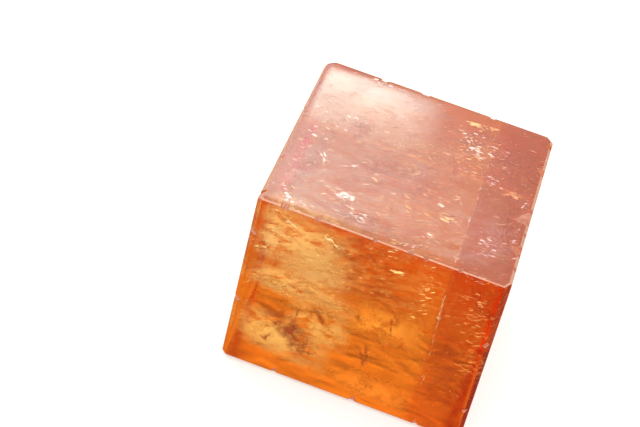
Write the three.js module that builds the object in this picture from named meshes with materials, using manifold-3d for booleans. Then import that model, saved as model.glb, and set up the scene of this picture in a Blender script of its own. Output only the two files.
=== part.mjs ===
// A polished block of honey-coloured optical calcite: one crystal, ground flat on six sides and
// polished by hand, so no two sides are quite square. Every edge has a narrow ground bevel, the
// vertical edges are eased by different amounts, and the rims carry the small stepped nicks that
// calcite takes where its three perfect cleavages reach an edge.
//
// Millimetres. +X runs along the front edge, +Y from front to back, +Z up. The block rests on its
// flat underside, and the origin is the middle of its footprint, at the underside.

import * as THREE from "three";
import { mergeVertices } from "three/addons/utils/BufferGeometryUtils.js";
import Module from "manifold-3d";

const wasm = await Module();
wasm.setup();

// ---- Driving dimensions -------------------------------------------------------------------

const WIDTH = 56;
const DEPTH = 61;
const HEIGHT = 44;

// How far hand grinding left the sides out of square.
const PLAN_SKEW_DEG = 1.2; // the back edge sits to the left of the front edge
const LEAN_LEFT_DEG = 1.5; // the top sits to the left of the underside
const LEAN_BACK_DEG = 0.5; // and a little behind it

const BEVEL = 0.7; // width that the usual bevel takes off each side
const CUTTER = 200; // size of a cutting block, well beyond the stone
const CHIP_REACH = 9; // size of the cutting block of one nick
const CLEAVAGE_LEAN = 0.21; // slant of a nick's steep wall: calcite cleaves 12 degrees off square
const RUN_OUT = 0.75; // part of a nick's depth that its floor rises by over the nick's length

const HONEY = 0xe0791c;

// ---- The block's own slanting measures -----------------------------------------------------

const slope = (degrees) => Math.tan(THREE.MathUtils.degToRad(degrees));

const RIGHT = new THREE.Vector3(1, 0, 0);
const BACK = new THREE.Vector3(-slope(PLAN_SKEW_DEG), 1, 0);
const UP = new THREE.Vector3(-slope(LEAN_LEFT_DEG), slope(LEAN_BACK_DEG), 1);
const LEFT = RIGHT.clone().negate();
const FRONT = BACK.clone().negate();
const DOWN = UP.clone().negate();

// A point x to the right, y behind and z above the underside's middle, along the slanting edges.
function place(x, y, z) {
  return new THREE.Vector3()
    .addScaledVector(RIGHT, x)
    .addScaledVector(BACK, y)
    .addScaledVector(UP, z);
}

// Where each side lies, and which way is inward from it.
const SIDES = {
  left: { at: -WIDTH / 2, inward: 1 },
  right: { at: WIDTH / 2, inward: -1 },
  front: { at: -DEPTH / 2, inward: 1 },
  back: { at: DEPTH / 2, inward: -1 },
  bottom: { at: 0, inward: 1 },
  top: { at: HEIGHT, inward: -1 },
};

// A spot at given distances in from a corner, along the three edges that meet there. A corner is
// named by its sides, such as ["left", "front", "top"].
function spot(corner, distances) {
  const measures = corner.map((name, i) => SIDES[name].at + SIDES[name].inward * distances[i]);
  return place(...measures);
}

const CENTRE = place(0, 0, HEIGHT / 2);

// ---- Solids --------------------------------------------------------------------------------

function solid(geometry) {
  const bare = geometry.clone();
  bare.deleteAttribute("normal");
  bare.deleteAttribute("uv");
  const merged = mergeVertices(bare, 1e-4);
  return new wasm.Manifold(new wasm.Mesh({
    numProp: 3,
    vertProperties: merged.attributes.position.array,
    triVerts: new Uint32Array(merged.index.array),
  }));
}

function geometryOf(manifold) {
  const { vertProperties, triVerts } = manifold.getMesh();
  const geometry = new THREE.BufferGeometry();
  geometry.setAttribute("position", new THREE.BufferAttribute(vertProperties, 3));
  geometry.setIndex(new THREE.BufferAttribute(triVerts, 1));
  return geometry;
}

function sawnBlock() {
  const geometry = new THREE.BoxGeometry(WIDTH, DEPTH, HEIGHT).translate(0, 0, HEIGHT / 2);
  const slant = new THREE.Matrix4().makeBasis(RIGHT, BACK, UP);
  return solid(geometry.applyMatrix4(slant));
}

// Everything beyond the plane through three points, on the side away from the block's centre.
function beyond(a, b, c) {
  const plane = new THREE.Plane().setFromCoplanarPoints(a, b, c);
  if (plane.distanceToPoint(CENTRE) > 0) plane.negate();
  const geometry = new THREE.BoxGeometry(CUTTER, CUTTER, CUTTER).translate(0, 0, CUTTER / 2);
  const turn = new THREE.Quaternion().setFromUnitVectors(new THREE.Vector3(0, 0, 1), plane.normal);
  geometry.applyQuaternion(turn).translate(a.x, a.y, a.z);
  return solid(geometry);
}

// ---- Bevels --------------------------------------------------------------------------------

// A flat along the edge between two corners. It is cut by three spots: one on each of the two sides
// that meet at the edge, at its start, and one on the first of those sides, at its end.
function edgeFlat(start, end, [startOneSide, startOtherSide], endOneSide) {
  return beyond(spot(start, startOneSide), spot(start, startOtherSide), spot(end, endOneSide));
}

// An edge that runs from left to right: how wide its bevel is on the top or underside, and on the
// wall.
function bevelAcross(facing, level, onFlat, onWall) {
  return edgeFlat(["left", facing, level], ["right", facing, level],
    [[0, onFlat, 0], [0, 0, onWall]], [0, onFlat, 0]);
}

// An edge that runs from front to back: how wide its bevel is at each end.
function bevelAlong(side, level, atFront, atBack) {
  return edgeFlat([side, "front", level], [side, "back", level],
    [[atFront, 0, 0], [0, 0, atFront]], [atBack, 0, 0]);
}

// An upright edge: how wide its bevel is at the top, on the front or back and on the side wall, and
// how wide it is on the front or back at its foot.
function bevelUpright(side, facing, [onFront, onSide], atFoot) {
  return edgeFlat([side, facing, "top"], [side, facing, "bottom"],
    [[onFront, 0, 0], [0, onSide, 0]], [atFoot, 0, 0]);
}

function allBevels() {
  return [
    bevelAcross("front", "top", 0.45, 0.35),
    bevelAcross("back", "top", 0.6, 0.6),
    bevelAcross("front", "bottom", BEVEL, BEVEL),
    bevelAcross("back", "bottom", BEVEL, BEVEL),
    bevelAlong("left", "top", 1.1, 0.45),
    bevelAlong("right", "top", 0.8, 0.7),
    bevelAlong("left", "bottom", BEVEL, 0.9),
    bevelAlong("right", "bottom", 0.9, BEVEL),
    bevelUpright("left", "front", [1.2, 1.1], 0.8),
    bevelUpright("right", "front", [1.3, 2.5], 0.9),
    bevelUpright("right", "back", [1.5, 1.6], 1.0),
    // The back left edge is worn round: three flats that follow a curve.
    bevelUpright("left", "back", [1.9, 1.9], 1.3),
    bevelUpright("left", "back", [0.8, 4.1], 0.6),
    bevelUpright("left", "back", [3.6, 0.9], 2.4),
  ];
}

// The polish rolls off towards the rim of the top: one very shallow flat along each edge. Its width
// is given at the two ends of the edge, front before back and left before right.
const ROLL_OFF = { front: [1.4, 2.6], back: [1.6, 1.6], left: [1.3, 1.8], right: [2.0, 1.6] };
const ROLL_DROP = 0.09; // how far it drops by the edge

function rollOffs() {
  const drop = [0, 0, ROLL_DROP];
  const across = ["front", "back"].map((facing) => {
    const [atLeft, atRight] = ROLL_OFF[facing];
    return edgeFlat(["left", facing, "top"], ["right", facing, "top"],
      [[0, atLeft, 0], drop], [0, atRight, 0]);
  });
  const along = ["left", "right"].map((side) => {
    const [atFront, atBack] = ROLL_OFF[side];
    return edgeFlat([side, "front", "top"], [side, "back", "top"],
      [[atFront, 0, 0], drop], [atBack, 0, 0]);
  });
  return [...across, ...along];
}

// ---- Corners -------------------------------------------------------------------------------

// Small flats across the corners: how far each reaches along the three edges that meet there.
const CORNER_FLATS = [
  [["left", "back", "top"], [3.0, 3.4, 1.2]],
  [["left", "back", "top"], [2.4, 2.6, 2.2]],
  [["right", "back", "top"], [2.3, 2.6, 1.5]],
  [["right", "front", "top"], [2.0, 3.2, 1.1]],
  [["left", "front", "top"], [1.9, 2.1, 1.2]],
  [["left", "front", "bottom"], [1.8, 1.8, 1.6]],
  [["right", "front", "bottom"], [2.0, 2.4, 1.8]],
  [["left", "back", "bottom"], [2.4, 2.6, 1.8]],
  [["right", "back", "bottom"], [2.2, 2.2, 1.8]],
];

function cornerFlats() {
  return CORNER_FLATS.map(([corner, [x, y, z]]) =>
    beyond(spot(corner, [x, 0, 0]), spot(corner, [0, y, 0]), spot(corner, [0, 0, z])));
}

// ---- Nicks ---------------------------------------------------------------------------------

// Nicks along the rims, edge by edge. For each: how far along the edge its steep wall lies, in mm
// from the edge's left or front or top end; how far its floor runs before it comes out, negative
// towards the start of the edge; how deep the floor starts below the sharp edge; and the floor's
// tilt in degrees towards the first of the two sides (0 is halfway).
const NICKED_EDGES = [
  {
    start: ["right", "front", "top"], along: BACK, sides: [RIGHT, UP],
    nicks: [
      [6.9, 1.6, 0.9, 8], [14.4, -3.2, 1.15, -18], [14.9, 1.3, 0.9, 5], [20.2, 1.0, 0.75, 12],
      [24.0, 4.6, 1.4, -23], [29.6, -1.8, 1.15, 6], [46.6, -3.4, 1.0, -14], [56.4, 1.8, 1.05, 4],
    ],
  },
  {
    start: ["left", "front", "top"], along: RIGHT, sides: [FRONT, UP],
    nicks: [
      [5.4, 2.4, 0.58, -26], [14.1, -1.8, 0.62, -24], [25.9, 1.2, 0.5, -10],
      [34.6, -1.7, 0.55, -26], [37.1, 1.4, 0.6, -16], [45.3, -1.1, 0.48, -20],
    ],
  },
  {
    start: ["left", "front", "top"], along: BACK, sides: [LEFT, UP],
    nicks: [[2.8, 1.8, 1.0, 6], [17.4, -1.4, 0.78, -14], [38.0, 1.8, 0.68, 4]],
  },
  {
    start: ["left", "back", "top"], along: RIGHT, sides: [BACK, UP],
    nicks: [[13.8, 2.6, 0.9, -10], [25.2, -3.2, 1.0, 14], [40.6, 1.9, 0.8, -6]],
  },
  {
    start: ["right", "front", "top"], along: DOWN, sides: [FRONT, RIGHT],
    nicks: [[16.2, 1.2, 1.14, -8], [35.6, -1.8, 0.95, -6]],
  },
  {
    start: ["left", "front", "top"], along: DOWN, sides: [FRONT, LEFT],
    nicks: [[9.0, 1.2, 0.92, -4], [28.0, -1.8, 0.85, -8]],
  },
  {
    start: ["right", "back", "top"], along: DOWN, sides: [BACK, RIGHT],
    nicks: [[22.4, -3.2, 1.7, -14], [33.0, 1.8, 1.3, 9]],
  },
  {
    start: ["left", "back", "top"], along: DOWN, sides: [BACK, LEFT],
    nicks: [[18.0, 2.6, 1.75, 4]],
  },
  {
    start: ["left", "front", "bottom"], along: RIGHT, sides: [FRONT, DOWN],
    nicks: [[12.0, 1.6, 0.8, 8], [30.2, 2.2, 0.9, 8], [46.0, -1.8, 0.8, 5]],
  },
  {
    start: ["left", "back", "bottom"], along: RIGHT, sides: [BACK, DOWN],
    nicks: [[10.0, 3.0, 1.0, 12], [36.2, -2.2, 0.9, -8]],
  },
];

// One step of a nick: a box whose floor starts `depth` inside the sharp edge, at a steep leaning
// wall, and rises along the edge until it runs out of the stone about `length` further on.
function nickStep(at, along, floorNormal, length, depth) {
  const out = floorNormal.clone().addScaledVector(along, -floorNormal.dot(along)).normalize();
  const across = new THREE.Vector3().crossVectors(out, along).normalize();
  const wall = new THREE.Matrix4().makeShear(0, 0, 0, 0, -CLEAVAGE_LEAN, 0);
  const rise = new THREE.Matrix4().makeRotationY(-Math.atan2(depth * RUN_OUT, length));
  const turn = new THREE.Matrix4().makeBasis(along, across, out);
  const floor = at.clone().addScaledVector(out, -depth);
  const geometry = new THREE.BoxGeometry(CHIP_REACH, CHIP_REACH, CHIP_REACH)
    .translate(CHIP_REACH / 2, 0, CHIP_REACH / 2)
    .applyMatrix4(turn.multiply(rise).multiply(wall));
  return solid(geometry.translate(floor.x, floor.y, floor.z));
}

// A nick breaks out in two cleavage steps, the second one shorter, deeper and turned a little.
const SECOND_STEP = { length: 0.5, deeper: 0.14, shift: 0.3, turnDeg: 11 };

// A nick whose length is negative runs out towards the start of its edge.
function nick(edge, [position, reach, depth, tiltDeg]) {
  const along = edge.along.clone().normalize().multiplyScalar(Math.sign(reach));
  const length = Math.abs(reach);
  const [first, second] = edge.sides.map((side) => side.clone().normalize());
  const at = spot(edge.start, [0, 0, 0]).addScaledVector(edge.along, position);
  const floorAt = (degrees) => {
    const angle = THREE.MathUtils.degToRad(45 + degrees);
    return first.clone().multiplyScalar(Math.sin(angle)).addScaledVector(second, Math.cos(angle));
  };
  const shallow = nickStep(at, along, floorAt(tiltDeg), length, depth);
  const aside = at.clone().addScaledVector(along, length * SECOND_STEP.shift);
  const deep = nickStep(aside, along, floorAt(tiltDeg + SECOND_STEP.turnDeg),
    length * SECOND_STEP.length, depth + SECOND_STEP.deeper);
  return shallow.add(deep);
}

function allNicks() {
  return NICKED_EDGES.flatMap((edge) => edge.nicks.map((one) => nick(edge, one)));
}

// ---- The block -----------------------------------------------------------------------------

function calciteBlock() {
  const cuts = [...allBevels(), ...rollOffs(), ...cornerFlats(), ...allNicks()];
  const block = cuts.reduce((stone, cut) => stone.subtract(cut), sawnBlock());
  const material = new THREE.MeshStandardMaterial({ color: HONEY, roughness: 0.08, metalness: 0 });
  const mesh = new THREE.Mesh(geometryOf(block), material);
  mesh.name = "calcite_block";

  // Stand the underside's middle on the origin.
  mesh.geometry.computeBoundingBox();
  const { min, max } = mesh.geometry.boundingBox;
  mesh.position.set(-(min.x + max.x) / 2, -(min.y + max.y) / 2, -min.z);
  return mesh;
}

const specimen = new THREE.Group();
specimen.add(calciteBlock());

export default specimen;
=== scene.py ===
"""A polished block of honey-orange optical calcite, resting on a pale floor.

The stone is one clear solid with real absorption. Inside it lie the flaws that a natural block has:
pale healed veils, short bright cleavage flakes, iron stains and one cleavage crack near its right
side. Lengths are in millimetres unless a name says otherwise.
"""

import math
import random

import bmesh
import bpy
from mathutils import Matrix, Vector

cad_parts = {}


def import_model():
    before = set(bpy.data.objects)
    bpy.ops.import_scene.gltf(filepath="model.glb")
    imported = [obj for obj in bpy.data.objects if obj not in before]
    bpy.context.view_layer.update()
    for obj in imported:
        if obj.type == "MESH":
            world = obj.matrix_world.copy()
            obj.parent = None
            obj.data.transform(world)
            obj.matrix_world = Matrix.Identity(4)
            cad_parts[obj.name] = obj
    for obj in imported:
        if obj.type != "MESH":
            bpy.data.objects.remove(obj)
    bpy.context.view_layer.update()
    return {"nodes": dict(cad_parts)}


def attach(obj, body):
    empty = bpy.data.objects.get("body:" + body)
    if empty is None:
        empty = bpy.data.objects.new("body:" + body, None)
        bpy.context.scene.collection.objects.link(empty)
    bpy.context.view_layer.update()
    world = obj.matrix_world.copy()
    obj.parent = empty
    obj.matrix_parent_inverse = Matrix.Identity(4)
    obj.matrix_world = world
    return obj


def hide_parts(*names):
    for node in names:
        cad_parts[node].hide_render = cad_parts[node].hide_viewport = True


MM = 0.001

# ---- The block's measures -------------------------------------------------------------------------

WIDTH = 56.0
DEPTH = 61.0
HEIGHT = 44.0
PLAN_SKEW_DEG = 1.2
LEAN_LEFT_DEG = 1.5
LEAN_BACK_DEG = 0.5
TOP_CORNER = Vector((-27.95, -30.3, 44.0))  # the front left corner of the top, before its bevels

ALONG = Vector((1.0, 0.0, 0.0))
BACK = Vector((-math.tan(math.radians(PLAN_SKEW_DEG)), 1.0, 0.0))
DOWN = Vector((math.tan(math.radians(LEAN_LEFT_DEG)), -math.tan(math.radians(LEAN_BACK_DEG)), -1.0))


def step(across, back, down):
    """A way in the stone, in mm along its three edges: to the right, to the back and down."""
    return (ALONG * across + BACK * back + DOWN * down) * MM


def inside(across, back, down):
    """A place in the stone: mm from its left side, from its front and down from its top."""
    return TOP_CORNER * MM + step(across, back, down)


def steps_to(place):
    """A place in mm as its steps from the top's front left corner: to the right, back and down."""
    local = place - TOP_CORNER
    down = -local.z
    back = local.y - DOWN.y * down
    return local.x - BACK.x * back - DOWN.x * down, back, down


def rim_gaps(point):
    """How far in mm a place lies from the nearer side, from front or back, and from top or base."""
    across, back, down = steps_to(point / MM)
    return min(across, WIDTH - across), min(back, DEPTH - back), min(down, HEIGHT - down)


# ---- Places that the camera sees in the stone ------------------------------------------------------

CALCITE_IOR = 1.6
CAMERA_AT = Vector((19.3, -344.1, 275.9))
CAMERA_AIM = Vector((-17.6, 0.0, 23.2))
CAMERA_ROLL_DEG = 16.28
CAMERA_LENS_MM = 106.0
CAMERA_SENSOR_MM = 36.0
FRAME_PX = (640, 427)
PX_SLOPE = CAMERA_SENSOR_MM / CAMERA_LENS_MM / FRAME_PX[0]
FRONT_OUT = ALONG.cross(-DOWN).normalized()
TOP_OUT = Vector((0.0, 0.0, 1.0))


def camera_turn():
    look = (CAMERA_AIM - CAMERA_AT).to_track_quat("-Z", "Y").to_matrix()
    return look @ Matrix.Rotation(math.radians(CAMERA_ROLL_DEG), 3, "Z")


def seen_behind(outward, depth, marks):
    """Steps to the places that the camera sees at its frame's marks, a depth in mm behind a face."""
    route = []
    turn = camera_turn()
    for across_px, down_px in marks:
        slopes = ((across_px - FRAME_PX[0] / 2) * PX_SLOPE, (FRAME_PX[1] / 2 - down_px) * PX_SLOPE)
        ray = (turn @ Vector((*slopes, -1.0))).normalized()
        hit = CAMERA_AT + ray * ((TOP_CORNER - CAMERA_AT).dot(outward) / ray.dot(outward))
        facing = -ray.dot(outward)
        bent = math.sqrt(1 - (1 - facing ** 2) / CALCITE_IOR ** 2)
        inner = ray / CALCITE_IOR + outward * (facing / CALCITE_IOR - bent)
        route.append(steps_to(hit + inner * (depth / bent)))
    return route


def behind_front(depth, marks):
    return seen_behind(FRONT_OUT, depth, marks)


def under_top(depth, marks):
    return seen_behind(TOP_OUT, depth, marks)


# Where each flaw shows, in pixels across and down a frame of 640 by 427. Those behind the front:
VEIL_BAND = ((249, 275), (262, 278), (270, 283), (280, 289), (291, 295))
GOLD_BAND = ((306, 285), (313, 295), (325, 304), (347, 312))
UPPER_STREAK = ((325, 235), (333, 243), (342, 250))
GOLD_DUST = ((315, 258), (330, 268), (345, 283))
LEFT_TUFT = ((272, 229), (281, 234), (292, 238))
RIM_TUFT = ((288, 222), (297, 228))
LONE_GLINT = ((391, 270), (401, 274))
GLINT_CHAIN = ((437, 284), (428, 287), (424, 300), (422, 311), (416, 318))
SMALL_GLINT = ((388, 298),)
RIM_GLINTS = ((419, 260), (383, 251))
UPPER_LADDER = ((473, 296), (481, 310), (473, 317), (480, 332), (474, 348))
LOWER_LADDER = ((472, 352), (471, 364), (464, 371), (473, 376))
BROWN_SMEAR = ((268, 303), (285, 325), (295, 337), (303, 352), (309, 366))
DARK_HOOK = ((260, 336), (265, 339), (273, 334))
DARK_TICK = ((299, 308), (294, 324))
BROWN_TAIL = ((312, 303), (318, 312), (325, 328))
LEFT_PRONG = ((355, 343), (362, 355), (363, 368))
RIGHT_PRONG = ((366, 343), (366, 366))
UPRIGHT_MARK = ((392, 318), (390, 337))
SLANTED_MARK = ((374, 335), (384, 349))
# And those under the top:
WHITE_PATCH = ((340, 194), (350, 197))
PATCH_TAIL = ((345, 205), (352, 210), (365, 222))
WHITE_DASH = ((340, 166), (358, 166))
SLANTED_VEIL = ((321, 153), (327, 164))
CORNER_FLECKS = ((319, 110), (363, 117), (311, 133), (319, 138))
WHITE_FLAKES = ((478, 142), (469, 139), (477, 155))
FLAKE_ARM = ((477, 155), (489, 149), (502, 154))
FLAKE_TRAIL = ((492, 173), (492, 184))
LONE_FLAKE = ((440, 205),)
FRONT_RIM_FLECKS = ((410, 246), (424, 245), (432, 231))
RIGHT_FLECKS = ((480, 262), (485, 237), (495, 248), (500, 254))
LEFT_RIM_FLECKS = ((272, 182), (283, 188), (288, 193), (286, 199), (315, 206))
BACK_RIM_FLECKS = ((368, 78), (391, 85), (408, 91))
RIGHT_GLOW = ((511, 194), (519, 196))
BACK_GLOW = ((473, 125), (487, 128))
FRONT_GLOW = ((440, 216), (451, 220))
MIDDLE_STAIN = ((364, 158), (397, 167))
BACK_STAIN = ((434, 114), (458, 122))
RIGHT_STAIN = ((502, 165), (537, 171))
LEFT_STAIN = ((349, 125), (375, 131))
RIM_STAIN = ((396, 104), (426, 111))


# ---- Small helpers --------------------------------------------------------------------------------


def new_object(name, bm, material=None):
    mesh = bpy.data.meshes.new(name)
    bm.to_mesh(mesh)
    bm.free()
    obj = bpy.data.objects.new(name, mesh)
    bpy.context.scene.collection.objects.link(obj)
    if material:
        mesh.materials.append(material)
    return obj


def new_material(name):
    """A material with its node tree and its Principled shader."""
    material = bpy.data.materials.new(name)
    material.use_nodes = True
    return material, material.node_tree, material.node_tree.nodes["Principled BSDF"]


def add_node(tree, kind, values=(), **settings):
    """A node with its settings and the values of its named inputs.

    A value may be another node's output.
    """
    node = tree.nodes.new(kind)
    for name, value in settings.items():
        setattr(node, name, value)
    for name, value in dict(values).items():
        if isinstance(value, bpy.types.NodeSocket):
            tree.links.new(value, node.inputs[name])
        else:
            node.inputs[name].default_value = value
    return node


# ---- Materials ------------------------------------------------------------------------------------

ABSORB_PER_M = 70.0
ABSORB_COLOR = (0.975, 0.675, 0.05, 1.0)


def give_volume(tree):
    """The honey colour: light is lost with the length of its way through the stone."""
    absorb = add_node(tree, "ShaderNodeVolumeAbsorption", {
        "Color": ABSORB_COLOR, "Density": ABSORB_PER_M})
    tree.links.new(absorb.outputs["Volume"], tree.nodes["Material Output"].inputs["Volume"])


GRAIN_WAY = Vector((1.0, 0.14, 0.14)).normalized()  # the fine streaks run this way through the stone


def make_grain():
    """Noise drawn out along the grain, in the stone's own millimetres, as a group."""
    group = bpy.data.node_groups.new("stone_grain", "ShaderNodeTree")
    for name, default in (("Size", 10.0), ("Stretch", 1.0), ("Detail", 3.0), ("Shift", 0.0)):
        socket = group.interface.new_socket(name, in_out="INPUT", socket_type="NodeSocketFloat")
        socket.default_value = default
    group.interface.new_socket("Grain", in_out="OUTPUT", socket_type="NodeSocketFloat")
    inputs, outputs = group.nodes.new("NodeGroupInput"), group.nodes.new("NodeGroupOutput")
    place = add_node(group, "ShaderNodeTexCoord").outputs["Object"]
    along = add_node(group, "ShaderNodeVectorMath", {0: place, 1: GRAIN_WAY}, operation="DOT_PRODUCT")
    kept = add_node(group, "ShaderNodeMath", {0: 1.0, 1: inputs.outputs["Stretch"]}, operation="DIVIDE")
    lost = add_node(group, "ShaderNodeMath", {0: kept.outputs["Value"], 1: 1.0}, operation="SUBTRACT")
    squeeze = add_node(group, "ShaderNodeMath", {0: along.outputs["Value"], 1: lost.outputs["Value"]},
                       operation="MULTIPLY")
    shorter = add_node(group, "ShaderNodeVectorMath", {0: GRAIN_WAY, "Scale": squeeze.outputs["Value"]},
                       operation="SCALE")
    drawn = add_node(group, "ShaderNodeVectorMath", {0: place, 1: shorter.outputs["Vector"]},
                     operation="ADD")
    scale = add_node(group, "ShaderNodeMath", {0: 1.0 / MM, 1: inputs.outputs["Size"]},
                     operation="DIVIDE")
    sized = add_node(group, "ShaderNodeVectorMath", {
        0: drawn.outputs["Vector"], "Scale": scale.outputs["Value"]}, operation="SCALE")
    moved = add_node(group, "ShaderNodeVectorMath", {
        0: sized.outputs["Vector"], 1: inputs.outputs["Shift"]}, operation="ADD")
    noise = add_node(group, "ShaderNodeTexNoise", {
        "Vector": moved.outputs["Vector"], "Scale": 1.0, "Detail": inputs.outputs["Detail"],
        "Roughness": 0.6, "Distortion": 0.4})
    group.links.new(noise.outputs["Fac"], outputs.inputs["Grain"])
    return group


def grain_value(tree, grain, **values):
    """The output of one more grain group in a material."""
    named = {name.title(): value for name, value in values.items()}
    return add_node(tree, "ShaderNodeGroup", named, node_tree=grain).outputs["Grain"]


def to_range(tree, value, low, high, to_low, to_high):
    return add_node(tree, "ShaderNodeMapRange", {
        "Value": value, "From Min": low, "From Max": high, "To Min": to_low, "To Max": to_high},
        interpolation_type="SMOOTHSTEP").outputs["Result"]


def color_ramp(tree, value, *stops):
    """A colour ramp through stops of a position and a colour."""
    node = add_node(tree, "ShaderNodeValToRGB", {"Fac": value})
    elements = node.color_ramp.elements
    for element, (position, color) in zip(elements, (stops[0], stops[-1])):
        element.position, element.color = position, (*color, 1.0)
    for position, color in stops[1:-1]:
        elements.new(position).color = (*color, 1.0)
    return node.outputs["Color"]


def multiply(tree, one, other):
    node = add_node(tree, "ShaderNodeMix", {0: 1.0, 6: one, 7: other}, data_type="RGBA",
                    blend_type="MULTIPLY")
    return node.outputs[2]


def set_bump(tree, bsdf, height, distance, strength=1.0):
    bump = add_node(tree, "ShaderNodeBump", {
        "Height": height, "Strength": strength, "Distance": distance})
    tree.links.new(bump.outputs["Normal"], bsdf.inputs["Normal"])


ZONE_SIDE = Vector((1.0, math.tan(math.radians(PLAN_SKEW_DEG)), math.tan(math.radians(LEAN_LEFT_DEG))))
ZONE_START = 43.5  # mm from the left side, where the cleavage crack runs and the painted shade beyond it begins
ZONE_BLUR = 0.5    # and how far in mm its edge blurs to each side
# Painted shade: this tint darkens and reddens the right side beyond the crack, where the crack keeps
# light out.
CRACK_SHADE_TINT = (0.86, 0.63, 0.68, 1.0)


def painted_crack_shade(tree):
    """Painted shade at the block's right side: darker and redder beyond the cleavage crack, with its
    edge at the crack.
    """
    place = add_node(tree, "ShaderNodeTexCoord").outputs["Object"]
    across = add_node(tree, "ShaderNodeVectorMath", {0: place, 1: ZONE_SIDE}, operation="DOT_PRODUCT")
    edge = inside(ZONE_START, 0, 0).dot(ZONE_SIDE)
    blur = ZONE_BLUR * MM
    mask = to_range(tree, across.outputs["Value"], edge - blur, edge + blur, 0.0, 1.0)
    mix = add_node(tree, "ShaderNodeMix", {0: mask, 6: (1.0, 1.0, 1.0, 1.0), 7: CRACK_SHADE_TINT},
                   data_type="RGBA")
    return mix.outputs[2]


def calcite(name, grain, polish, streak_tint, wave):
    """Clear honey stone, its clouds and streaks as a faint tint where light crosses the surface, with
    painted shade beyond the crack.
    """
    material, tree, bsdf = new_material(name)
    clouds = color_ramp(tree, grain_value(tree, grain, size=8.0, stretch=1.8),
                        (0.36, (0.97, 0.84, 0.70)), (0.47, (0.99, 0.95, 0.90)), (0.60, (1.0, 1.0, 1.0)))
    streaks = grain_value(tree, grain, size=0.9, stretch=4.5, detail=4.0)
    shade = color_ramp(tree, streaks, (0.34, streak_tint), (0.52, (1.0, 1.0, 1.0)))
    # The last tint is painted shade, darker and redder beyond the crack.
    tint = multiply(tree, multiply(tree, clouds, shade), painted_crack_shade(tree))
    tree.links.new(tint, bsdf.inputs["Base Color"])
    lapping = grain_value(tree, grain, size=4.0, stretch=2.0, shift=9.0)
    tree.links.new(to_range(tree, lapping, 0.35, 0.65, polish[0], polish[1]), bsdf.inputs["Roughness"])
    set_bump(tree, bsdf, grain_value(tree, grain, size=7.0, shift=5.0, detail=1.0), wave)
    bsdf.inputs["Transmission Weight"].default_value = 1.0
    bsdf.inputs["IOR"].default_value = CALCITE_IOR
    give_volume(tree)
    return material


def worn_calcite(name, grain, low, high, roughness, clearness):
    """A broken or ground face, dull and paler than the polish, between two tints."""
    material, tree, bsdf = new_material(name)
    rough = grain_value(tree, grain, size=0.5, detail=3.0)
    tree.links.new(color_ramp(tree, rough, (0.40, low), (0.60, high)), bsdf.inputs["Base Color"])
    set_bump(tree, bsdf, rough, 0.0005, 0.8)
    bsdf.inputs["Roughness"].default_value = roughness
    bsdf.inputs["Transmission Weight"].default_value = clearness
    bsdf.inputs["IOR"].default_value = CALCITE_IOR
    give_volume(tree)
    return material


def flake_material(name, grain, color, dim, roughness):
    """A crack's mirror-bright skin."""
    material, tree, bsdf = new_material(name)
    shade = grain_value(tree, grain, size=0.6, detail=2.0)
    tree.links.new(color_ramp(tree, shade, (0.35, tuple(dim * c for c in color)), (0.6, color)),
                   bsdf.inputs["Base Color"])
    bsdf.inputs["Roughness"].default_value = roughness
    bsdf.inputs["Metallic"].default_value = 1.0
    return material


FILM_ROUGHNESS = 0.35
FILM_WAVE_M = 0.00005


def film_material(name, grain, color, metallic, thick, gaps, size, stretch):
    """A healed crack or a stain: a half clear film with streaky gaps that thins out to its rim.

    It covers the share `thick` at most. Its patches have a size in mm and are drawn out by
    `stretch`, and the grain's value rises through `gaps` from a gap to a patch.
    """
    material, tree, bsdf = new_material(name)
    patches = grain_value(tree, grain, size=size, stretch=stretch, detail=4.0, shift=3.0)
    film = to_range(tree, patches, gaps[0], gaps[1], 0.0, thick)
    fade = add_node(tree, "ShaderNodeAttribute", attribute_name="fade").outputs["Fac"]
    alpha = add_node(tree, "ShaderNodeMath", {0: film, 1: fade}, operation="MULTIPLY")
    tree.links.new(alpha.outputs["Value"], bsdf.inputs["Alpha"])
    set_bump(tree, bsdf, grain_value(tree, grain, size=0.7), FILM_WAVE_M)
    bsdf.inputs["Base Color"].default_value = (*color, 1.0)
    bsdf.inputs["Roughness"].default_value = FILM_ROUGHNESS
    bsdf.inputs["Metallic"].default_value = metallic
    return material


# ---- The block ------------------------------------------------------------------------------------

POLISHED, SATIN, RIM, NICK = range(4)
RIM_RISE = (0.6, 0.85)  # how far up the bevels round the top face
SKEW_OF_NICKS = 0.1     # only a nick's faces and the corner flats lean on all three axes
CORNER_REACH = 4.5      # and these flats lie this near a corner, in mm
POLISH_FACES = 0.5      # a face takes the best polish if it faces up or front by more than this
WELD_M = 1e-6
LEVEL_WITHIN_DEG = 0.2  # faces that turn less than this against each other are one flat face


def finish_of(face):
    """Which of the four finishes a face has."""
    normal = face.normal
    skew = min(abs(share) for share in normal)
    if skew > SKEW_OF_NICKS and max(rim_gaps(face.calc_center_median())) > CORNER_REACH:
        return NICK
    if RIM_RISE[0] < normal.z < RIM_RISE[1]:
        return RIM
    return POLISHED if max(normal.z, -normal.y) > POLISH_FACES else SATIN


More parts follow.
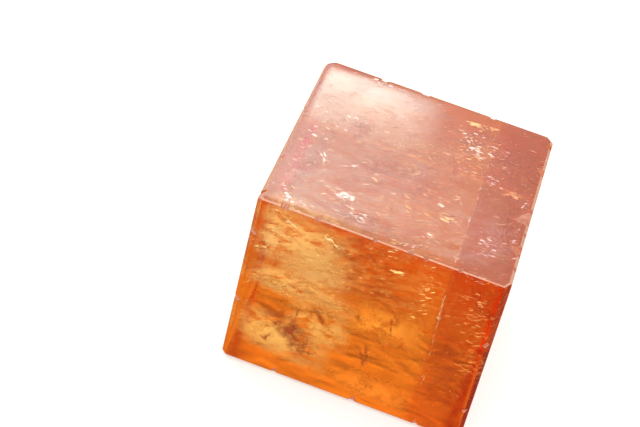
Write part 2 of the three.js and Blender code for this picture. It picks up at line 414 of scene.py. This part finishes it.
def make_block(frame, grain):
    bm = bmesh.new()
    bm.from_mesh(frame["nodes"]["calcite_block"].data)
    bmesh.ops.remove_doubles(bm, verts=bm.verts, dist=WELD_M)
    level = math.radians(LEVEL_WITHIN_DEG)
    bmesh.ops.dissolve_limit(bm, angle_limit=level, verts=bm.verts, edges=bm.edges)
    for face in bm.faces:
        face.material_index = finish_of(face)
    polished = calcite("polished_calcite", grain, (0.07, 0.12), (0.95, 0.87, 0.78), 0.00005)
    block = new_object("polished_block", bm, polished)
    for material in (
            calcite("satin_calcite", grain, (0.12, 0.18), (0.98, 0.94, 0.90), 0.0001),
            worn_calcite("ground_rim", grain, (0.98, 0.52, 0.30), (1.0, 0.78, 0.60), 0.4, 0.6),
            worn_calcite("nicked_calcite", grain, (1.0, 0.46, 0.22), (1.0, 0.86, 0.70), 0.3, 0.8)):
        block.data.materials.append(material)
    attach(block, "root")
    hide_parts("calcite_block")


# ---- Flaws inside the stone -----------------------------------------------------------------------

FACING_FRONT = 34.0   # the tilt from level that sends light from above out of the front
FACING_UP = 12.0      # and the tilt that sends it out of the top
SKIN = 0.5            # no flaw comes nearer to the surface than this, in mm
SMALLEST = 0.3        # the smallest flake's share of its swarm's size
SIZE_RANGE = 6.0      # and how many times larger the few largest are
SIZE_SKEW = 1.5       # above 1, small flakes outnumber large ones
TURN_WANDER = 1.5     # flakes wander this much more in their own plane than out of it
FLATNESS = 0.2        # a flake's thickness is this share of its width


def add_flake(bm, at, length, width, thickness, turn):
    """One flake: a flattened lens, its length along X and level before it is turned."""
    shape = Matrix.Diagonal((length * MM, width * MM, thickness * MM, 1.0))
    pose = Matrix.Translation(at) @ turn @ shape
    bmesh.ops.create_icosphere(bm, subdivisions=1, radius=0.5, matrix=pose)


def along_route(route, share):
    """The place at a share of the way along a route of places in the stone."""
    spots = [inside(*point) for point in route]
    if len(spots) == 1:
        return spots[0]
    lengths = [(b - a).length for a, b in zip(spots, spots[1:])]
    way = share * sum(lengths)
    for a, b, length in zip(spots, spots[1:], lengths):
        if way <= length:
            return a.lerp(b, way / length)
        way -= length
    return spots[-1]


def scatter(bm, draw, swarm, tilt, wander):
    """A swarm of flakes along its route, each turned in its own plane and then tilted."""
    route, spread, number, length, width, turn = swarm
    for _ in range(number):
        at = along_route(route, draw.random()) + Vector([draw.gauss(0, gap * MM) for gap in spread])
        if min(rim_gaps(at)) < SKIN:
            continue
        pose = (Matrix.Rotation(math.radians(tilt + draw.gauss(0, wander)), 4, "X")
                @ Matrix.Rotation(math.radians(draw.gauss(0, wander)), 4, "Y")
                @ Matrix.Rotation(math.radians(turn + draw.gauss(0, TURN_WANDER * wander)), 4, "Z"))
        size = SMALLEST * SIZE_RANGE ** (draw.random() ** SIZE_SKEW)
        add_flake(bm, at, length * size, width * size, FLATNESS * width * size, pose)


def make_swarms(name, seed, swarms, tilt, wander, material):
    bm = bmesh.new()
    draw = random.Random(seed)
    for swarm in swarms:
        scatter(bm, draw, swarm, tilt, wander)
    flakes = new_object(name, bm, material)
    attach(flakes, "root")


# Each swarm: its route in the stone, its spread on three axes, the number of flakes, their length and
# width, and their turn in degrees.
FRONT_FLECKS = (
    (behind_front(5, VEIL_BAND), (0.6, 1, 0.5), 90, 1.3, 0.3, 10),
    ([(5.5, 5, 21), (9.5, 5.5, 21.5)], (0.3, 1, 0.2), 24, 1.4, 0.3, 10),
    (behind_front(7, GOLD_BAND), (1, 1.5, 0.8), 110, 1.2, 0.35, 0),
    (behind_front(7, GOLD_BAND[:2]), (1, 1, 0.8), 60, 1.3, 0.4, 0),
    (behind_front(3, UPPER_STREAK), (0.5, 0.5, 0.3), 60, 0.9, 0.22, -20),
    (behind_front(6, GOLD_DUST), (2.5, 2, 1.4), 150, 0.6, 0.14, 10),
    (behind_front(3, LEFT_TUFT), (0.4, 0.4, 0.25), 34, 0.8, 0.2, 0),
    (behind_front(3, RIM_TUFT), (0.4, 0.4, 0.25), 24, 0.8, 0.2, -10),
    ([(2, 3, 12.5), (5, 4, 13.5)], (0.9, 0.5, 0.5), 34, 1.0, 0.3, 10),
)
FRONT_GLINTS = (
    (behind_front(3, LONE_GLINT), (0.3, 0.3, 0.15), 14, 1.6, 0.35, 10),
    (behind_front(3, GLINT_CHAIN), (1, 0.6, 0.9), 70, 0.9, 0.18, 15),
    (behind_front(3, SMALL_GLINT), (0.5, 0.3, 0.3), 5, 1.0, 0.2, 10),
    (behind_front(3, RIM_GLINTS), (2.5, 0.6, 0.5), 16, 0.8, 0.16, 10),
    (behind_front(4, UPPER_LADDER), (1.8, 1, 0.8), 110, 1.2, 0.18, 10),
    (behind_front(4, LOWER_LADDER), (1.3, 1, 0.8), 60, 1.2, 0.18, 10),
)
CRACK_GLINTS = (
    ([(43.4, 3, 9), (43.8, 3, 18)], (0.12, 0.8, 0.3), 70, 0.8, 0.12, 85),
    ([(43.7, 2, 14.5)], (0.2, 0.3, 0.2), 8, 0.6, 0.4, 0),
    ([(43.8, 3, 18), (44.5, 3, 34)], (0.12, 0.8, 0.5), 40, 0.7, 0.09, 85),
)
TOP_FLECKS = (
    (under_top(0.7, WHITE_PATCH), (0.8, 0.6, 0.15), 120, 0.8, 0.4, 0),
    (under_top(1.5, PATCH_TAIL), (1, 0.8, 0.3), 46, 0.7, 0.25, 0),
    (under_top(1, WHITE_DASH), (0.2, 0.2, 0.2), 12, 1.2, 0.2, 30),
    (under_top(2, SLANTED_VEIL), (0.4, 0.4, 0.2), 14, 1.1, 0.25, -50),
    (under_top(1.5, CORNER_FLECKS), (1.2, 1, 0.3), 34, 0.8, 0.25, 0),
    (under_top(1.5, WHITE_FLAKES), (1.2, 1, 0.4), 46, 1.1, 0.4, 0),
    (under_top(1.5, FLAKE_ARM), (1, 1.4, 0.4), 30, 0.9, 0.3, 0),
    (under_top(1.5, FLAKE_TRAIL), (0.8, 1, 0.4), 20, 0.9, 0.3, 0),
    (under_top(1, LONE_FLAKE), (0.2, 0.2, 0.1), 4, 1.3, 0.6, 0),
    (under_top(1, FRONT_RIM_FLECKS), (0.8, 0.6, 0.2), 22, 0.9, 0.25, 0),
    (under_top(1, RIGHT_FLECKS), (1, 1.2, 0.2), 40, 1.0, 0.3, 0),
    (under_top(0.7, LEFT_RIM_FLECKS), (0.5, 0.6, 0.15), 40, 0.8, 0.3, 0),
    (under_top(1, BACK_RIM_FLECKS), (1, 0.4, 0.3), 24, 0.9, 0.3, 0),
    ([(54, 10, 1.2), (54, 34, 1.2)], (0.5, 1, 0.4), 60, 0.8, 0.25, 40),
    ([(43.4, 2, 1.5), (43.4, 46, 1.5)], (0.1, 0.3, 0.3), 60, 0.9, 0.08, 90),
)
TOP_GLOWS = (
    (under_top(3, RIGHT_GLOW), (0.8, 0.6, 0.3), 30, 2.2, 0.8, 0),
    (under_top(3, BACK_GLOW), (1.0, 0.6, 0.3), 26, 2.0, 0.7, 0),
    (under_top(3, FRONT_GLOW), (1.0, 0.8, 0.3), 30, 1.8, 0.6, 0),
    ([(24, 16, 4), (29, 17, 4), (33, 15, 4)], (1.2, 1.5, 0.5), 45, 1.2, 0.3, 0),
    ([(36, 42, 4), (41, 41, 4)], (1.5, 2.5, 0.5), 45, 1.2, 0.3, 0),
    ([(20, 33, 5), (31, 36, 5)], (3, 5, 1.0), 70, 1.2, 0.25, 0),
)
FINE_STREAKS = (
    ([(3, 4, 6), (53, 4, 8)], (3, 2.5, 4), 420, 0.8, 0.09, 15),
    ([(3, 4, 20), (53, 4, 22)], (3, 2.5, 7), 420, 0.8, 0.09, 15),
    ([(3, 3, 34), (53, 3, 34)], (3, 2, 5), 160, 0.8, 0.09, 15),
    ([(4, 15, 2), (52, 15, 2)], (3, 9, 0.7), 600, 1.1, 0.14, 8),
    ([(4, 42, 2), (52, 42, 2)], (3, 10, 0.7), 700, 1.1, 0.14, 8),
)
SIDE_FLECKS = (
    ([(4, 57, 12), (52, 57, 32)], (3, 1.5, 8), 320, 1.4, 0.28, 0),
    ([(3, 8, 12), (3, 54, 32)], (1.2, 3, 8), 320, 1.4, 0.28, 0),
    ([(52.5, 8, 14), (52.5, 54, 30)], (1.2, 3, 8), 320, 1.4, 0.28, 0),
)


def make_flaws(grain):
    gold = flake_material("gold_flecks", grain, (1.0, 0.90, 0.62), 0.8, 0.3)
    amber = flake_material("amber_flecks", grain, (1.0, 0.62, 0.30), 0.8, 0.3)
    bright = flake_material("cleavage_glints", grain, (1.0, 0.84, 0.48), 0.85, 0.25)
    pearl = flake_material("pearl_flecks", grain, (0.98, 0.94, 1.0), 0.85, 0.3)
    make_swarms("front_flecks", 3, FRONT_FLECKS, FACING_FRONT, 9, gold)
    make_swarms("front_glints", 5, FRONT_GLINTS, FACING_FRONT, 8, bright)
    make_swarms("crack_glints", 7, CRACK_GLINTS, 65, 8, bright)
    make_swarms("top_flecks", 9, TOP_FLECKS, FACING_UP, 8, pearl)
    make_swarms("top_glows", 11, TOP_GLOWS, FACING_UP, 10, amber)
    make_swarms("fine_streaks", 13, FINE_STREAKS, 24, 16, gold)
    make_swarms("side_flecks", 15, SIDE_FLECKS, 0, 35, gold)


FILM_THICKNESS = 0.05  # mm
FILM_STEP = 1.0        # mm from one of a film's points to the next
FILM_CELLS = (6, 40)   # but it has no fewer and no more steps than these each way


def fade_from(place, peak):
    """1 at the peak, falling to 0 at both ends of 0 to 1."""
    reach = peak if place < peak else 1 - peak
    return 1 - (abs(place - peak) / reach) ** 2


def add_film(bm, fade, film):
    """A thin closed film, swept along its route, that thins out from its peak to a clear rim."""
    route, width, ripple, peak = film
    spots = [inside(*point) for point in route]
    length = sum((b - a).length for a, b in zip(spots, spots[1:]))
    width = step(*width)
    normal = (spots[-1] - spots[0]).cross(width).normalized()
    fewest, most = FILM_CELLS
    count = [min(most, max(fewest, round(size / MM / FILM_STEP))) for size in (length, width.length)]
    grid = bmesh.ops.create_grid(bm, x_segments=count[0], y_segments=count[1], size=0.5)
    for vert in grid["verts"]:
        u, v = vert.co.x + 0.5, vert.co.y + 0.5
        lift = ripple * MM * math.sin(5 * u + 2 * v) * math.cos(4 * v - u)
        vert.co = along_route(route, u) + width * (v - 0.5) + normal * lift
        vert[fade] = fade_from(u, peak[0]) * fade_from(v, peak[1])
    faces = list(dict.fromkeys(face for vert in grid["verts"] for face in vert.link_faces))
    bmesh.ops.solidify(bm, geom=faces, thickness=FILM_THICKNESS * MM)


def sort_faces(bm):
    """Put the faces in one fixed order: solidify leaves them in another order on each run."""
    bm.verts.index_update()
    count = len(bm.verts)

    def rank(face):
        low, middle, high = sorted(vert.index for vert in face.verts)[:3]
        return (low * count + middle) * count + high

    bm.faces.sort(key=rank)


def make_films(name, films, material):
    bm = bmesh.new()
    fade = bm.verts.layers.float.new("fade")
    for film in films:
        add_film(bm, fade, film)
    sort_faces(bm)
    bmesh.ops.recalc_face_normals(bm, faces=bm.faces)
    obj = new_object(name, bm, material)
    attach(obj, "root")


# Each film: the route of its middle line, its width, its ripple in mm, and where it is thickest, as
# shares of the way along the route and across it.
CORNER_HAZE = (([(0.8, 47, 2.6), (31, 48, 2.6)], (0, 25, -2.5), 0.4, (0.05, 0.85)),)
TOP_HAZE = (
    ([(0.8, 30, 3), (48, 30, 3)], (0, 57, 0), 0.6, (0.1, 0.15)),
    ([(34, 14, 2), (55, 14, 2)], (0, 26, 0), 0.4, (0.7, 0.3)),
)
CLEAVAGE_CRACK = (([(ZONE_START, 0.6, 20), (ZONE_START, 60, 20)], (-1, 0, 39), 0.15, (0.2, 0.35)),)
PALE_CLOUDS = (
    ([(0.8, 5.2, 9), (25, 5.2, 12)], (0, -2.5, 15), 0.4, (0.2, 0.4)),
    ([(7, 6, 14), (23, 6, 16)], (0, -1.8, 10), 0.4, (0.4, 0.5)),
    ([(0.8, 6, 20.5), (27, 6, 23.5)], (0, -1.2, 7), 0.3, (0.3, 0.5)),
)
LOW_CLOUDS = (
    ([(0.8, 6.5, 35), (24, 6.5, 37.5)], (0, -2, 11), 0.2, (0.4, 0.5)),
    ([(11, 6.5, 29), (27, 6.5, 30.5)], (0, -1.6, 9), 0.2, (0.45, 0.5)),
)
ORANGE_GLOWS = (
    ([(25, 8, 23.5), (42, 8, 24)], (0, 9, -6.5), 0.2, (0.5, 0.5)),
    ([(20, 4, 39), (43.3, 4, 40)], (0, 6.4, -4.6), 0.1, (0.65, 0.5)),
)
SIDE_CLOUDS = (
    ([(6, 55, 12), (30, 55, 14)], (0, 6, 12), 0.5, (0.4, 0.5)),
    ([(4.5, 12, 15), (4.5, 40, 17)], (-6, 0, 12), 0.5, (0.4, 0.5)),
    ([(5, 30, 31), (5, 56, 33)], (-5, 0, 10), 0.5, (0.5, 0.5)),
    ([(51.5, 18, 19), (51.5, 46, 21)], (6, 0, 12), 0.5, (0.5, 0.5)),
)
FRONT_FIBRES = (
    ([(0.8, 11, 10), (55, 11, 12)], (0, 18, -12.5), 0.4, (0.3, 0.4)),
    ([(0.8, 11, 26), (55, 11, 28)], (0, 18, -12.5), 0.4, (0.6, 0.5)),
)
GOLD_CLOUDS = (
    ([(12, 33, 5), (34, 37, 5)], (2, 18, 0), 0.8, (0.5, 0.5)),
    ([(20, 17, 4), (44, 18, 4)], (0, 12, 0), 0.6, (0.5, 0.5)),
    ([(30, 45, 4), (54, 47, 4)], (0, 14, 0), 0.6, (0.5, 0.5)),
    ([(47, 16, 4), (50, 40, 4)], (9, 0, 1), 0.5, (0.5, 0.5)),
)
BROWN_CLOUDS = (
    ([(10, 10, 7), (36, 10, 10)], (-2, 1, 12), 0.5, (0.5, 0.5)),
    ([(14, 10, 14), (42, 10, 20)], (-2, 1, 12), 0.5, (0.5, 0.5)),
    ([(44, 10, 30), (55, 10, 32)], (0, 1, 22), 0.5, (0.5, 0.5)),
    ([(12, 27, 5), (40, 31, 5)], (0, 22, 0), 0.5, (0.5, 0.5)),
    ([(26, 50, 5), (54, 52, 5)], (0, 16, 0), 0.5, (0.5, 0.5)),
)
TOP_STAINS = (
    (under_top(2.5, MIDDLE_STAIN), (0, 5, 0), 0.2, (0.5, 0.5)),
    (under_top(2.5, BACK_STAIN), (0, 5, 0), 0.2, (0.5, 0.5)),
    (under_top(2.5, RIGHT_STAIN), (0, 13, 0), 0.2, (0.5, 0.5)),
    (under_top(2.5, LEFT_STAIN), (0, 4, 0), 0.2, (0.5, 0.5)),
    (under_top(2.5, RIM_STAIN), (0, 4, 0), 0.2, (0.5, 0.5)),
)
RUST_SMEARS = (
    (behind_front(4, BROWN_SMEAR), (5, 0, -4.5), 0.3, (0.5, 0.5)),
    (behind_front(5, DARK_HOOK), (1, 0, 1), 0.1, (0.5, 0.5)),
    (behind_front(4, DARK_TICK), (0.6, 0, 0), 0.1, (0.5, 0.5)),
    (behind_front(4, LEFT_PRONG), (1.1, 0, -0.5), 0.1, (0.5, 0.5)),
    (behind_front(4, RIGHT_PRONG), (0.9, 0, 0), 0.1, (0.5, 0.5)),
    (behind_front(4, UPRIGHT_MARK), (0.6, 0, 0), 0.1, (0.5, 0.5)),
    (behind_front(4, SLANTED_MARK), (0.5, 0, -0.6), 0.1, (0.5, 0.5)),
    (behind_front(6, BROWN_TAIL), (1.4, 0, -0.8), 0.1, (0.5, 0.5)),
)


def make_veils(grain):
    milk = film_material("milky_haze", grain, (0.92, 0.85, 0.91), 1.0, 0.58, (0.05, 0.6), 4.0, 1.4)
    thin = film_material("thin_haze", grain, (0.90, 0.88, 1.0), 1.0, 0.15, (0.3, 0.7), 3.0, 1.6)
    crack = film_material("cleavage_film", grain, (1.0, 0.93, 0.85), 1.0, 0.9, (0.42, 0.62), 5.0, 1.0)
    pale = film_material("pale_cloud", grain, (1.0, 0.77, 0.41), 1.0, 0.73, (0.28, 0.60), 1.4, 2.6)
    low = film_material("low_cloud", grain, (1.0, 0.77, 0.37), 1.0, 0.80, (0.33, 0.58), 2.4, 1.7)
    side = film_material("side_cloud", grain, (1.0, 0.80, 0.44), 1.0, 0.4, (0.34, 0.64), 1.5, 2.5)
    glow = film_material("orange_glow", grain, (1.0, 0.72, 0.32), 1.0, 1.0, (0.34, 0.54), 5.0, 1.2)
    front = film_material("front_fibres", grain, (1.0, 0.86, 0.52), 1.0, 0.22, (0.38, 0.66), 0.9, 3.5)
    gold = film_material("gold_cloud", grain, (1.0, 0.72, 0.42), 1.0, 0.12, (0.42, 0.68), 2.5, 1.6)
    brown = film_material("brown_cloud", grain, (0.72, 0.17, 0.04), 0.0, 0.42, (0.34, 0.64), 2.5, 2.0)
    rust = film_material("rust_stain", grain, (0.60, 0.11, 0.02), 0.0, 0.7, (0.38, 0.64), 1.3, 1.0)
    stain = film_material("top_stain", grain, (0.72, 0.18, 0.06), 0.0, 0.5, (0.38, 0.58), 1.2, 1.4)
    make_films("corner_haze", CORNER_HAZE, milk)
    make_films("top_haze", TOP_HAZE, thin)
    make_films("cleavage_crack", CLEAVAGE_CRACK, crack)
    make_films("pale_clouds", PALE_CLOUDS, pale)
    make_films("side_clouds", SIDE_CLOUDS, side)
    make_films("low_clouds", LOW_CLOUDS, low)
    make_films("orange_glows", ORANGE_GLOWS, glow)
    make_films("front_fibres", FRONT_FIBRES, front)
    make_films("gold_clouds", GOLD_CLOUDS, gold)
    make_films("brown_clouds", BROWN_CLOUDS, brown)
    make_films("top_stains", TOP_STAINS, stain)
    make_films("rust_smears", RUST_SMEARS, rust)


# ---- Camera, floor and light ----------------------------------------------------------------------

SKY = (1.0, 0.975, 0.94)
AMBIENT = 1.12
BELOW = 0.08
HORIZON = 0.03  # how far below level the sky fades out, as the height of its way
# Brighter patches of the sky: their way, their reach in degrees and their gain.
OVERHEAD = ((-0.15, 0.2, 1.0), 42, 1.8)
FRONT_FILL = ((-0.3, -1.0, 0.3), 50, 0.8)
FLOOR_COLOR = (0.62, 0.61, 0.60, 1.0)
FLOOR_ROUGHNESS = 0.7
FLOOR_GLOW_COLOR = (1.0, 0.98, 0.95, 1.0)
FLOOR_GLOW = 0.43
FLOOR_REACH_M = 60.0
FLOOR_DROP_M = 0.0002
# The window: where its light is aimed from, in degrees right of straight back and up, then where
# its middle is. Its distance and its size are in metres.
WINDOW_WAY_DEG = (-12.5, 38.5)
WINDOW_MIDDLE_DEG = (-10, 31)
WINDOW_FAR = 1.5
WINDOW_SIZE = (0.70, 0.34)
WINDOW_POWER = 0.0495
WINDOW_SPREAD_DEG = 24
WINDOW_COLOR = (0.80, 0.88, 1.0)


def make_camera():
    camera = bpy.data.objects.new("camera", bpy.data.cameras.new("camera"))
    bpy.context.scene.collection.objects.link(camera)
    camera.data.lens = CAMERA_LENS_MM
    camera.data.sensor_width = CAMERA_SENSOR_MM
    camera.data.sensor_fit = "HORIZONTAL"
    camera.data.clip_start = 0.01
    camera.matrix_world = Matrix.Translation(CAMERA_AT * MM) @ camera_turn().to_4x4()
    bpy.context.scene.camera = camera


def make_floor():
    bm = bmesh.new()
    low = Matrix.Translation((0, 0, -FLOOR_DROP_M))
    bmesh.ops.create_grid(bm, x_segments=1, y_segments=1, size=FLOOR_REACH_M, matrix=low)
    material, _, bsdf = new_material("pale_floor")
    bsdf.inputs["Base Color"].default_value = FLOOR_COLOR
    bsdf.inputs["Roughness"].default_value = FLOOR_ROUGHNESS
    bsdf.inputs["Emission Color"].default_value = FLOOR_GLOW_COLOR
    bsdf.inputs["Emission Strength"].default_value = FLOOR_GLOW
    floor = new_object("floor", bm, material)
    floor.visible_glossy = False


def seen_at(right_deg, up_deg):
    """The way to a place behind the block, by its bearing and its height in degrees."""
    right, up = math.radians(right_deg), math.radians(up_deg)
    return Vector((math.cos(up) * math.sin(right), math.cos(up) * math.cos(right), math.sin(up)))


def make_window():
    """A soft window behind and above, for the sheen on the top. It fades away from its aim."""
    light = bpy.data.lights.new("window", "AREA")
    light.shape = "RECTANGLE"
    light.size, light.size_y = WINDOW_SIZE
    light.energy = WINDOW_POWER
    light.spread = math.radians(WINDOW_SPREAD_DEG)
    light.color = WINDOW_COLOR
    window = bpy.data.objects.new("window", light)
    bpy.context.scene.collection.objects.link(window)
    at = seen_at(*WINDOW_MIDDLE_DEG) * WINDOW_FAR + Vector((0, 0, HEIGHT * MM))
    turn = (-seen_at(*WINDOW_WAY_DEG)).to_track_quat("-Z", "Y").to_matrix().to_4x4()
    window.matrix_world = Matrix.Translation(at) @ turn
    window.visible_camera = False
    window.visible_transmission = False


def sky_patch(tree, way, middle, reach_deg, gain):
    """The light of one soft patch of the sky, round its middle."""
    near = add_node(tree, "ShaderNodeVectorMath", {0: way, 1: Vector(middle).normalized()},
                    operation="DOT_PRODUCT")
    return to_range(tree, near.outputs["Value"], math.cos(math.radians(reach_deg)), 1.0, 0.0, gain)


def make_sky():
    """An even pale room, brighter overhead and in front, and dark below the floor's level."""
    world = bpy.data.worlds.new("studio")
    world.use_nodes = True
    tree = world.node_tree
    way = add_node(tree, "ShaderNodeTexCoord").outputs["Generated"]
    room = AMBIENT
    for patch in (OVERHEAD, FRONT_FILL):
        gain = sky_patch(tree, way, *patch)
        added = add_node(tree, "ShaderNodeMath", {0: room, 1: gain}, operation="ADD")
        room = added.outputs["Value"]
    height = add_node(tree, "ShaderNodeSeparateXYZ", {"Vector": way})
    above = to_range(tree, height.outputs["Z"], -HORIZON, 0.0, BELOW, 1.0)
    strength = add_node(tree, "ShaderNodeMath", {0: room, 1: above}, operation="MULTIPLY")
    background = tree.nodes["Background"]
    background.inputs["Color"].default_value = (*SKY, 1.0)
    tree.links.new(strength.outputs["Value"], background.inputs["Strength"])
    bpy.context.scene.world = world


def set_bounces():
    scene = bpy.context.scene
    scene.view_settings.view_transform = "Standard"
    scene.cycles.max_bounces = 32
    scene.cycles.glossy_bounces = 24
    scene.cycles.transmission_bounces = 24
    scene.cycles.transparent_max_bounces = 48


def main():
    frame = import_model()
    make_camera()
    grain = make_grain()
    make_block(frame, grain)
    make_flaws(grain)
    make_veils(grain)
    make_floor()
    make_window()
    make_sky()
    set_bounces()


main()
